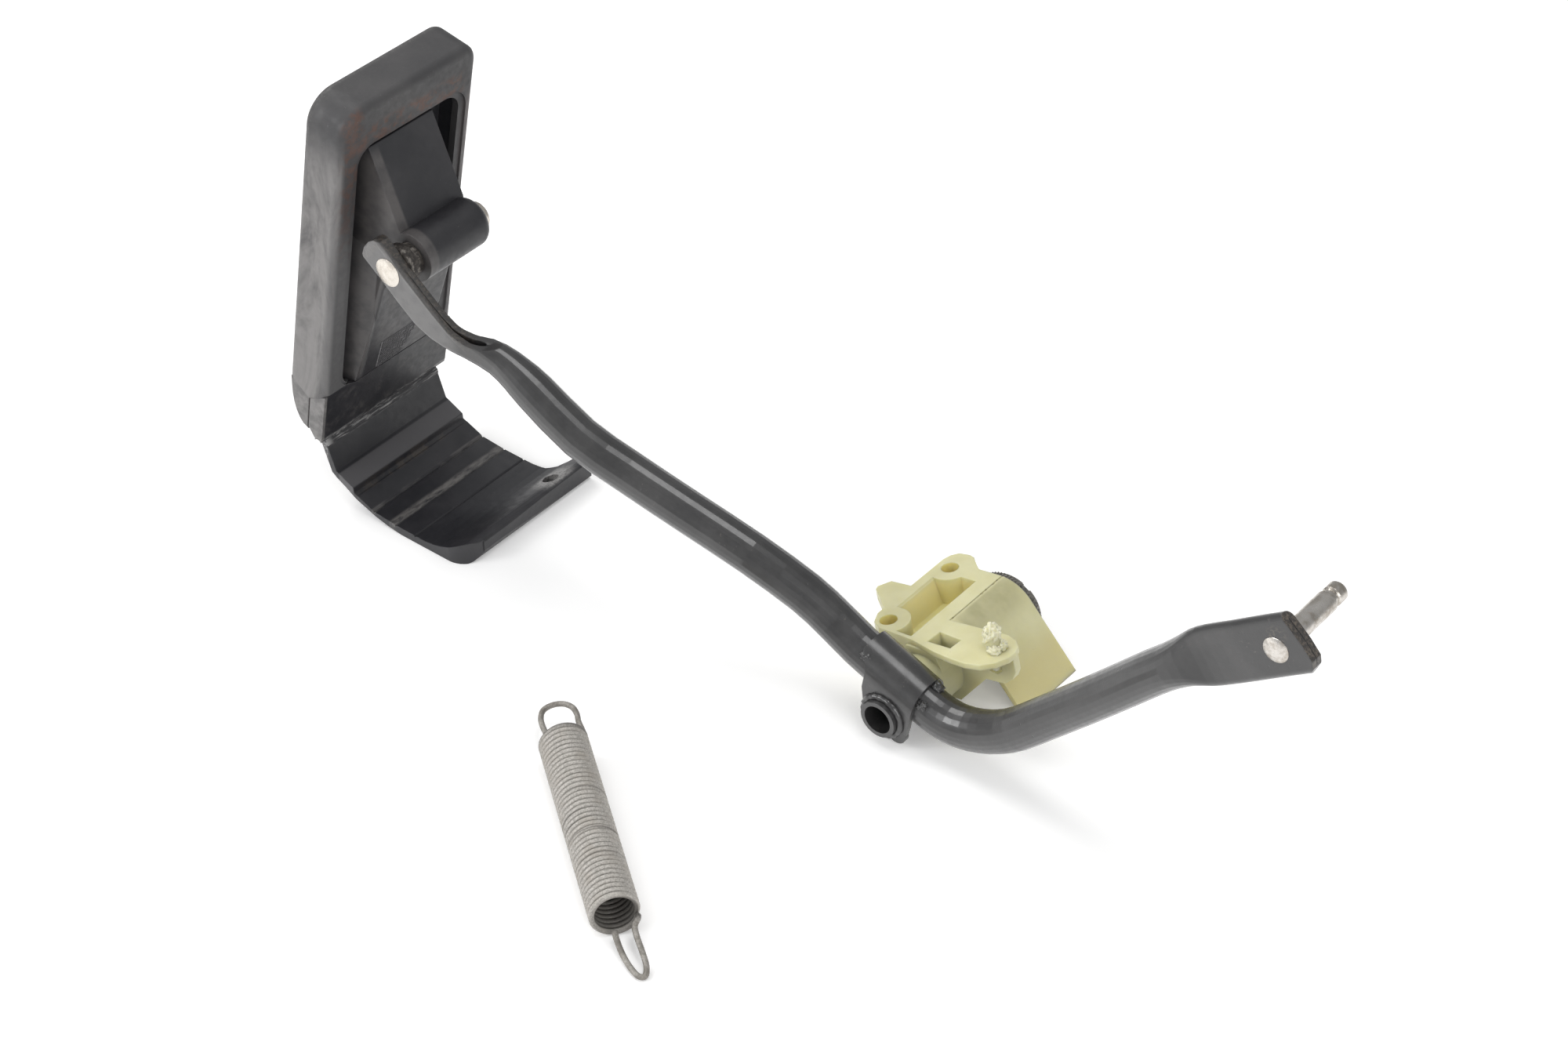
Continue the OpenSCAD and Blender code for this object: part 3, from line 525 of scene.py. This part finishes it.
# Closed tube along a list of points, with one radius or a radius at each
def tube(bm, points, radii, sides=12, closed=False):
    points = [Vector(p) for p in points]
    count = len(points)
    angles = [k * math.tau / sides for k in range(sides)]
    rings = []
    e = None
    for i, p in enumerate(points):
        a = points[(i - 1) % count] if closed or i else points[0]
        b = points[(i + 1) % count] if closed or i < count - 1 else points[-1]
        t = (b - a).normalized()
        e = (e - t * e.dot(t)).normalized() if e else t.orthogonal().normalized()
        f = t.cross(e)
        r = radii[i] if hasattr(radii, "__len__") else radii
        rings.append([bm.verts.new(p + e * r * math.cos(q) + f * r * math.sin(q)) for q in angles])
    for i in range(count if closed else count - 1):
        a, b = rings[i], rings[(i + 1) % count]
        for k in range(sides):
            bm.faces.new((a[k], b[k], b[(k + 1) % sides], a[(k + 1) % sides]))
    if not closed:
        bm.faces.new(rings[0])
        bm.faces.new(list(reversed(rings[-1])))


# Smooth curve through points
def curve(points, parts):
    out = []
    for i in range(len(points) - 1):
        p0, p1, p2, p3 = (points[min(max(i + k, 0), len(points) - 1)] for k in (-1, 0, 1, 2))
        for k in range(parts):
            t = k / parts
            out.append(0.5 * ((2 * p1) + (p2 - p0) * t + (2 * p0 - 5 * p1 + 4 * p2 - p3) * t * t
                              + (3 * p1 - p0 - 3 * p2 + p3) * t ** 3))
    return out + [points[-1]]


# Rough ellipsoid, leaning by some degrees
def lump(name, centre, size, material, body, rough, subdivisions=4, grain=0.55, lean=0):
    bm = bmesh.new()
    bmesh.ops.create_icosphere(bm, subdivisions=subdivisions, radius=1)
    turn = Matrix.Rotation(math.radians(lean), 4, "Y")
    for v in bm.verts:
        d = v.co.copy()
        k = 1 + rough * noise.fractal(d * 2.1 + centre, 0.7, 2.0, 4)
        v.co = Vector((d.x * size[0], d.y * size[1], d.z * size[2])) * k
        v.co += Vector(noise.noise_vector(v.co / grain)) * rough * min(size) * 0.3
        v.co = turn @ v.co + centre
    piece(name, bm, material, body)


# The bending line between pad and strap: thin web, with two raised whitened creases
def hinge_web(material):
    y0, y1, steps, parts = -48.2, 6.2, 72, 12
    thick_out, thick_in = 0.55, 0.35
    a, b = HINGE + Vector((-0.3, 0, 1.9)), HINGE + Vector((1.9, 0, -1.9))
    across = (b - a).normalized()
    out = Vector((-across.z, 0, across.x))

    def crease(u, at, high):
        return high * math.exp(-((u - at) / 0.09) ** 2)

    bm = bmesh.new()
    rows = []
    for i in range(steps + 1):
        y = y0 + (y1 - y0) * i / steps
        top, low = [], []
        for j in range(parts + 1):
            u = j / parts
            p = a.lerp(b, u)
            h = thick_out + (crease(u, 0.33, 0.42) + crease(u, 0.72, 0.36))
            wave = noise.noise(Vector((j * 0.6, y * 0.35, 3))) * 0.06
            q = Vector((p.x, y, p.z))
            top.append(bm.verts.new(q + out * (h + wave)))
            low.append(bm.verts.new(q - out * thick_in))
        rows.append(top + low[::-1])
    for r0, r1 in zip(rows, rows[1:]):
        n = len(r0)
        for k in range(n):
            bm.faces.new((r0[k], r1[k], r1[(k + 1) % n], r0[(k + 1) % n]))
    bm.faces.new(rows[0])
    bm.faces.new(list(reversed(rows[-1])))
    ob = piece("hinge_web", bm, material, None)
    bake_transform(ob)


# Moulded patch of slanting bars low on the sloping back, with the line that borders it
def hatch(material):
    bars, rows, pitch, drop, shift = 15, 16, 1.25, 0.86, 0.3
    left, upper, missing, narrowing = -4.6, -31.6, 0.05, 0.35
    outline = [(-0.5, -0.27), (0.5, -0.07), (0.5, 0.15), (-0.5, -0.05)]
    slope = math.atan2(6.8, 44.6)
    back = Matrix.Translation((6.5, 0, -76)) @ Matrix.Rotation(slope, 4, "Y")
    bm = bmesh.new()
    for i in range(bars):
        for j in range(rows):
            y, z = left + i * pitch + (j % 2) * shift, upper - j * drop
            if rng.random() < missing or i > bars - 1 - j * narrowing:
                continue
            base = [bm.verts.new(PAD @ (back @ Vector((-0.05, y + u, z + w)))) for u, w in outline]
            lid = [bm.verts.new(PAD @ (back @ Vector((0.16, y + u * 0.86, z + w * 0.8)))) for u, w in outline]
            bm.faces.new(lid)
            bm.faces.new(base[::-1])
            for k in range(4):
                bm.faces.new((base[k], base[(k + 1) % 4], lid[(k + 1) % 4], lid[k]))
    piece("moulded_hatch", bm, material, "pedal", smooth=False)
    bm = bmesh.new()
    line = [PAD @ (back @ Vector((0.02, -5.6 + 0.004 * k, -31 - k * 0.7))) for k in range(20)]
    tube(bm, line, 0.22, 8)
    piece("hatch_border", bm, material, "pedal")


# Short teeth round the cap, left out at the floor and at the key notch
def cap_teeth(material):
    teeth, rim, floor_gap, notch = 64, 12.4, 1.0, (0.92, 1.16)
    # Radius and half width of a tooth
    root, tip = (12.35, 0.34), (12.95, 0.2)
    bm = bmesh.new()
    for i in range(teeth):
        a = i * math.tau / teeth
        if PIVOT.z + rim * math.sin(a) < floor_gap or notch[0] < a < notch[1]:
            continue
        ca, sa = math.cos(a), math.sin(a)
        side = Vector((-sa, 0, ca))
        c = []
        for y in (38.95, 40.3):
            for r, w in (root, tip):
                for s in (-1, 1):
                    c.append(bm.verts.new(Vector((PIVOT.x + r * ca, y, PIVOT.z + r * sa)) + side * w * s))
        for f in ((0, 1, 3, 2), (4, 6, 7, 5), (0, 4, 5, 1), (2, 3, 7, 6), (0, 2, 6, 4), (1, 5, 7, 3)):
            bm.faces.new([c[k] for k in f])
    piece("cap_teeth", bm, material, "lever", smooth=False)


# The spring's wire with fine turns, on the same path as the solid
def spring(material):
    steps, parts, sides = 48, 6, 10
    radius, pitch = (COIL - WIRE) / 2, WIRE + 0.05
    top_hook = [(-4.4, 0, -5), (-4.8, 0, -9), (-4.5, 0, -12.7), (-3, 0, -15.9), (0.2, 0, -17.5),
                (3.6, 0, -17.2), (6, 0, -15), (6.8, 0, -11.5), (6.6, 0, -8), (6.9, -0.1, -4.6),
                (7.1, -0.2, -2.2)]
    end_hook = [(6.4, -0.6, 2.2), (5, -1.9, 4), (4.9, -3, 7.5), (5.4, -4.6, 12), (5.6, -6, 16.5),
                (4.6, -6.9, 19.6), (2.6, -6.9, 19.2), (0.9, -6.4, 15.5), (-0.3, -5.6, 10.5), (-0.8, -4.8, 5),
                (-0.7, -4.3, 2.3)]

    def on_coil(i):
        a = math.radians(i * 360 / steps - 15)
        return Vector((radius * math.cos(a), radius * math.sin(a), i * pitch / steps))

    coils = [on_coil(i) for i in range(3, TURNS * steps + 1)]
    first = curve([Vector(q) for q in top_hook] + coils[:2], parts)
    last = curve(coils[-2:] + [Vector(q) + Vector((0, 0, TURNS * pitch)) for q in end_hook], parts)
    path = first + coils[2:-2] + last
    lying = SPRING @ Matrix.Rotation(math.radians(90), 4, "Y") @ Matrix.Rotation(math.radians(90), 4, "Z")
    bm = bmesh.new()
    tube(bm, [lying @ q for q in path], WIRE / 2, sides)
    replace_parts(piece("spring_wire", bm, material, "bracket"), "return_spring")


# Lumpy weld round the near end of the pivot tube
def weld_ring(material):
    count, ring_radius, bead_radius, ripple = 60, 7.1, 1.1, 0.2
    ring, radii = [], []
    for k in range(count):
        a = k * math.tau / count
        ring.append(PIVOT + Vector((ring_radius * math.cos(a), -9.1, ring_radius * math.sin(a))))
        wave = ripple * math.sin(k * 1.7) * 0.5
        radii.append(bead_radius * (1 + wave + rng.uniform(-ripple, ripple) * 0.5))
    bm = bmesh.new()
    tube(bm, ring, radii, closed=True)
    for v in bm.verts:
        v.co += Vector(noise.noise_vector(v.co * 1.1)) * bead_radius * 0.22
    piece("weld_ring", bm, material, "lever")


# Rough end of the broken peg, torn lumps at its foot, and the catch in the window
def broken_peg(torn):
    for name, at, size, rough, subdivisions, grain in (
            ("peg_top", (23.6, 2.5, 18.8), (2.9, 2.7, 4.2), 0.3, 5, 0.9),
            ("peg_foot", (25.0, 0.6, 14.6), (2.4, 1.7, 1.6), 0.4, 4, 0.7),
            ("peg_flake", (26.3, 3.4, 14.8), (1.5, 1.9, 1.9), 0.5, 4, 0.6),
            ("catch", (23.2, 2.6, 7.0), (1.7, 1.0, 1.9), 0.5, 4, 0.6)):
        lump(name, BRACKET @ Vector(at), size, torn, "bracket", rough, subdivisions, grain)


# Tack welds at both ends of the saddle
def tacks(black):
    for name, at, size, rough, lean in (
            ("tack_front", (7.6, 2.5, 14.6), (2.6, 2.1, 1.3), 0.3, SADDLE_LEAN),
            ("tack_low", (8.6, -4.8, 12.2), (1.9, 1.7, 1.7), 0.4, 0),
            ("tack_back", (-14.6, -5.3, 12.8), (2.2, 1.6, 1.8), 0.4, 0)):
        lump(name, SADDLE @ Vector(at), size, black, "lever", rough, lean=lean)


# White sweep that glows a little, for the camera and in reflections only
def make_floor():
    bm = bmesh.new()
    bmesh.ops.create_grid(bm, x_segments=2, y_segments=2, size=4)
    mesh = bpy.data.meshes.new("floor")
    bm.to_mesh(mesh)
    bm.free()
    floor = bpy.data.objects.new("floor", mesh)
    floor.location = (0.1, 0, 0)
    bpy.context.scene.collection.objects.link(floor)
    m = bpy.data.materials.new("floor")
    m.use_nodes = True
    t = m.node_tree
    b = t.nodes["Principled BSDF"]
    b.inputs["Base Color"].default_value = (0.93, 0.925, 0.92, 1)
    b.inputs["Roughness"].default_value = 0.7
    b.inputs["Specular IOR Level"].default_value = 0.15
    path = t.nodes.new("ShaderNodeLightPath")
    seen = t.nodes.new("ShaderNodeMath")
    seen.operation = "MULTIPLY_ADD"
    seen.inputs[1].default_value = FLOOR_GLOW
    t.links.new(path.outputs["Is Camera Ray"], seen.inputs[0])
    gloss = t.nodes.new("ShaderNodeMath")
    gloss.operation = "MULTIPLY"
    gloss.inputs[1].default_value = FLOOR_GLOW
    t.links.new(path.outputs["Is Glossy Ray"], gloss.inputs[0])
    t.links.new(gloss.outputs[0], seen.inputs[2])
    b.inputs["Emission Color"].default_value = (1, 1, 1, 1)
    t.links.new(seen.outputs[0], b.inputs["Emission Strength"])
    mesh.materials.append(m)


# World light, and the lamps as soft rectangles, each facing its aim
def make_light():
    world = bpy.data.worlds.new("world")
    bpy.context.scene.world = world
    world.use_nodes = True
    bg = world.node_tree.nodes["Background"]
    bg.inputs["Color"].default_value = (0.98, 0.99, 1.0, 1)
    bg.inputs["Strength"].default_value = WORLD
    for name, at, to, size, watts, tint in LAMPS:
        data = bpy.data.lights.new(name, "AREA")
        data.shape, data.size, data.size_y = "RECTANGLE", size[0], size[1]
        data.energy, data.color = watts, tint
        ob = bpy.data.objects.new(name, data)
        ob.location = at
        ob.rotation_euler = (Vector(to) - Vector(at)).to_track_quat("-Z", "Y").to_euler()
        bpy.context.scene.collection.objects.link(ob)


make_camera()
bpy.context.scene.view_settings.view_transform = "Standard"
make_floor()
make_light()

black = paint("black_paint")
cap = cap_metal()
wire = zinc()
for node, material in (
        ("pad_cover", rubber()),
        ("pedal_plate", plastic("black_plastic")),
        ("heel_strap", plastic("strap_plastic", strap=True)),
        ("lever_tube", paint("black_paint_lever", lever=True)),
        ("saddle", black),
        ("pivot_tube", black),
        ("pivot_washer", cap),
        ("pivot_cap", cap),
        ("pad_pin", steel("pad_pin_steel", (0.70, 0.66, 0.60), (0.55, 0.50, 0.44), lines=False)),
        ("link_pin", steel("link_pin_steel", (0.68, 0.65, 0.61), (0.40, 0.36, 0.31), lines=True)),
        ("pin_spacer", rusty()),
        ("bracket", nylon()),
        ("return_spring", wire)):
    dress(node, material)

# Pieces that the scene makes itself; the weld ring takes its random draws after the hatch
spring(wire)
hinge_web(web_material())
hatch(raised_material())
cap_teeth(cap)
weld_ring(black)
broken_peg(torn_nylon())
tacks(black)
